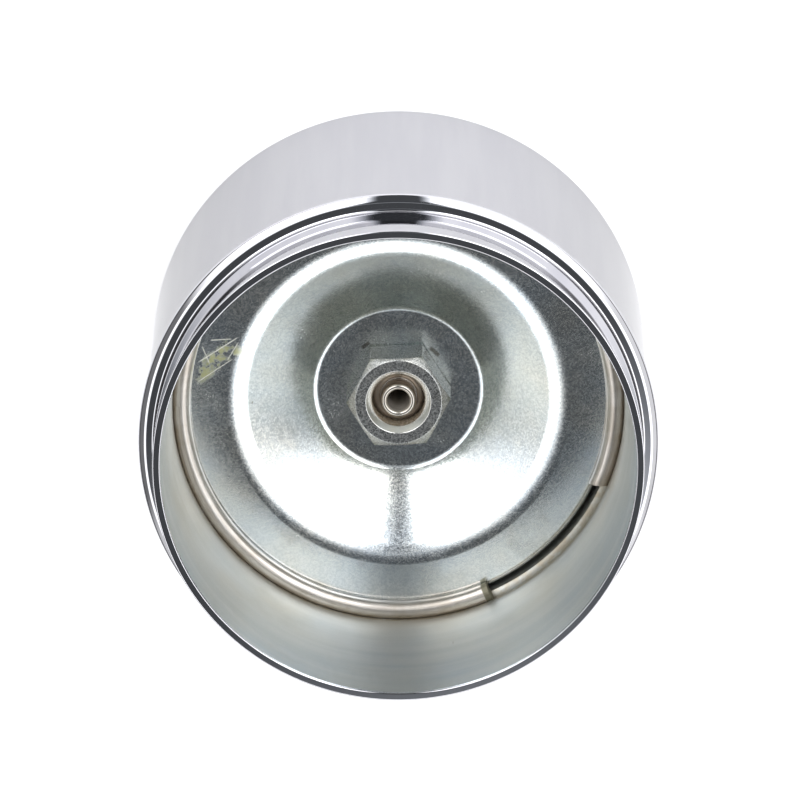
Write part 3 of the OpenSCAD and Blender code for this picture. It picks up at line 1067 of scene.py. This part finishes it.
zinc_plate = plate_finish()
fit(make_outer_shell(), "outer_shell", "can", chrome_finish())
fit(make_inner_sleeve(), "inner_sleeve", "can", sleeve_finish())
fit(make_wire_ring(), "wire_ring", "can", wire_finish())
fit(make_spring_seat(), "spring_seat", "can", zinc_plate)
fit(make_dished_plate(), "dished_plate", "plate", zinc_plate)
fit(make_hex_nut(), "hex_nut", "plate", nut_finish())
fit(make_hollow_bolt(), "hollow_bolt", "plate", bolt_finish())
fit(make_seal_washer(), "seal_washer", "plate", copper_finish())
coil = fit(make_spring(), "spring", "can", spring_finish())
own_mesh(coil)


# ---------------------------------------------------------------- studio

def make_floor():
    """Pale floor under the can, with a painted pool of light: it glows pale round the can and turns dark further
    out.
    """
    deselect()
    bpy.ops.mesh.primitive_plane_add(size=8.0, location=(0, 0, 0))
    floor = bpy.context.object
    floor.name = "floor"
    work_on(floor)
    bpy.ops.mesh.subdivide(number_cuts=3)
    close_edit()
    material = bpy.data.materials.new("pale floor")
    material.use_nodes = True
    n = Nodes(material.node_tree)
    shader = material.node_tree.nodes["Principled BSDF"]
    where = n.use(round_place, place=n.add("TexCoord").outputs["Object"])
    split = n.add("SeparateXYZ")
    n.join(where.outputs["Millimetres"], split.inputs[0])
    to_right = n.math("MULTIPLY", n.math("MAXIMUM", split.outputs[0], 0.0), 0.35)
    to_back = n.math("MULTIPLY", n.math("MAXIMUM", split.outputs[1], 0.0), 0.9)
    reach = n.math("SUBTRACT", n.math("SUBTRACT", where.outputs["Radius"], to_right), to_back)
    # Painted light: pale and glowing within reach of the can, dark further out.
    far = n.rescale(reach, 122, 215)
    n.join(n.mix(far, (0.70, 0.70, 0.71, 1.0), (0.16, 0.16, 0.165, 1.0)), shader.inputs["Base Color"])
    n.join(n.mix(far, (0.33, 0.33, 0.33, 1.0), (0.0, 0.0, 0.0, 1.0)), shader.inputs["Emission Color"])
    shader.inputs["Emission Strength"].default_value = 1.0
    shader.inputs["Roughness"].default_value = 0.9
    shader.inputs["Specular IOR Level"].default_value = 0.0
    floor.data.materials.append(material)


def make_world():
    """Soft bright surroundings, graded by direction.

    They are darker near the horizon, low down to the left, the right and the front, overhead, and in a
    narrow gap on the far side.
    """
    world = bpy.data.worlds.new("soft studio")
    world.use_nodes = True
    bpy.context.scene.world = world
    n = Nodes(world.node_tree)
    light = world.node_tree.nodes["Background"]
    direction = n.add("TexCoord").outputs["Generated"]
    split = n.add("SeparateXYZ")
    n.join(direction, split.inputs[0])
    x, y, z = split.outputs
    sides = n.rescale(z, 0.13, 0.34, 0.12, 2.1)
    front = n.math("MULTIPLY", n.rescale(y, -0.5, -0.8), n.rescale(z, 0.145, 0.25, 0.0, 2.2))
    back = n.rescale(y, 0.30, 0.65, 0.0, 1.4)
    sides = n.math("MAXIMUM", sides, n.math("MAXIMUM", front, back))
    right_share = n.rescale(x, -0.6, 0.6, 0.85, 1.1, False)
    sides = n.math("MULTIPLY", sides, right_share)
    low_down = n.rescale(z, 0.50, 0.60, 1.0, 0.0)
    left_wall = n.math("MULTIPLY", n.rescale(x, -0.70, -0.84), n.math("MULTIPLY", low_down, 0.88))
    right_wall = n.math("MULTIPLY", n.rescale(x, 0.70, 0.84), n.math("MULTIPLY", low_down, 0.58))
    in_front = n.math("MULTIPLY", n.rescale(y, -0.60, -0.85), n.rescale(z, 0.28, 0.42, 0.55, 0.0))
    in_front = n.math("MULTIPLY", in_front, n.rescale(n.math("ABSOLUTE", x), 0.2, 0.4, 1.0, 0.0))
    walls = n.math("MAXIMUM", in_front, n.math("MAXIMUM", left_wall, right_wall))
    sides = n.math("MULTIPLY", sides, n.math("SUBTRACT", 1.0, walls))
    off_middle = n.rescale(n.math("ABSOLUTE", x), 0.08, 0.16, 0.0, 1.0)
    behind_can = n.rescale(y, 0.0, 0.3, 0.0, 1.0)
    gap = n.math("MULTIPLY", behind_can, n.math("SUBTRACT", 1.0, off_middle))
    towards = n.add("VectorMath", operation="DOT_PRODUCT")
    n.join(direction, towards.inputs[0])
    towards.inputs[1].default_value = (-0.04, -0.17, 0.985)
    overhead = n.rescale(towards.outputs["Value"], math.cos(math.radians(32)), math.cos(math.radians(15)))
    dark = n.math("MAXIMUM", overhead, gap)
    level = n.math("MULTIPLY", sides, n.math("SUBTRACT", 1.0, n.math("MULTIPLY", dark, 0.96)))
    tint = n.mix(dark, (1.0, 1.0, 1.0, 1.0), (0.90, 0.95, 1.0, 1.0))
    n.join(tint, light.inputs["Color"])
    n.join(level, light.inputs["Strength"])


def add_softbox(name, direction, width, height, power, distance=2.4):
    """A rectangular softbox at a distance, turned towards the can."""
    data = bpy.data.lights.new(name, "AREA")
    data.shape = "RECTANGLE"
    data.size = width
    data.size_y = height
    data.energy = power
    softbox = bpy.data.objects.new(name, data)
    bpy.context.scene.collection.objects.link(softbox)
    aim = Vector((0, 0, can_length / 2 * MM))
    place = Vector(direction).normalized() * distance
    softbox.location = aim + place
    softbox.rotation_mode = "QUATERNION"
    softbox.rotation_quaternion = place.to_track_quat("Z", "Y")


def make_lights():
    add_softbox("left softbox", (-0.42, 0.66, 0.68), 1.2, 1.2, 10)
    add_softbox("right softbox", (0.42, 0.66, 0.68), 1.2, 1.2, 10)


def make_camera():
    """Camera above the mouth, 17.3 degrees off the can's axis."""
    tilt = math.radians(17.3)
    up = Vector((0, math.cos(tilt), -math.sin(tilt)))
    back = Vector((0, math.sin(tilt), math.cos(tilt)))
    aim = Vector((0.0067 * mouth_r, 0, can_length)) + up * 0.287 * mouth_r
    data = bpy.data.cameras.new("camera")
    data.sensor_width = 36.0
    lens_to_sensor = 8.9525
    data.lens = data.sensor_width * lens_to_sensor
    camera = bpy.data.objects.new("camera", data)
    bpy.context.scene.collection.objects.link(camera)
    camera.location = (aim + back * 30 * mouth_r) * MM
    camera.rotation_euler = (-tilt, 0, 0)
    data.clip_start = 0.05
    data.clip_end = 30
    bpy.context.scene.camera = camera


make_floor()
make_world()
make_lights()
make_camera()
bpy.context.scene.view_settings.view_transform = "Standard"
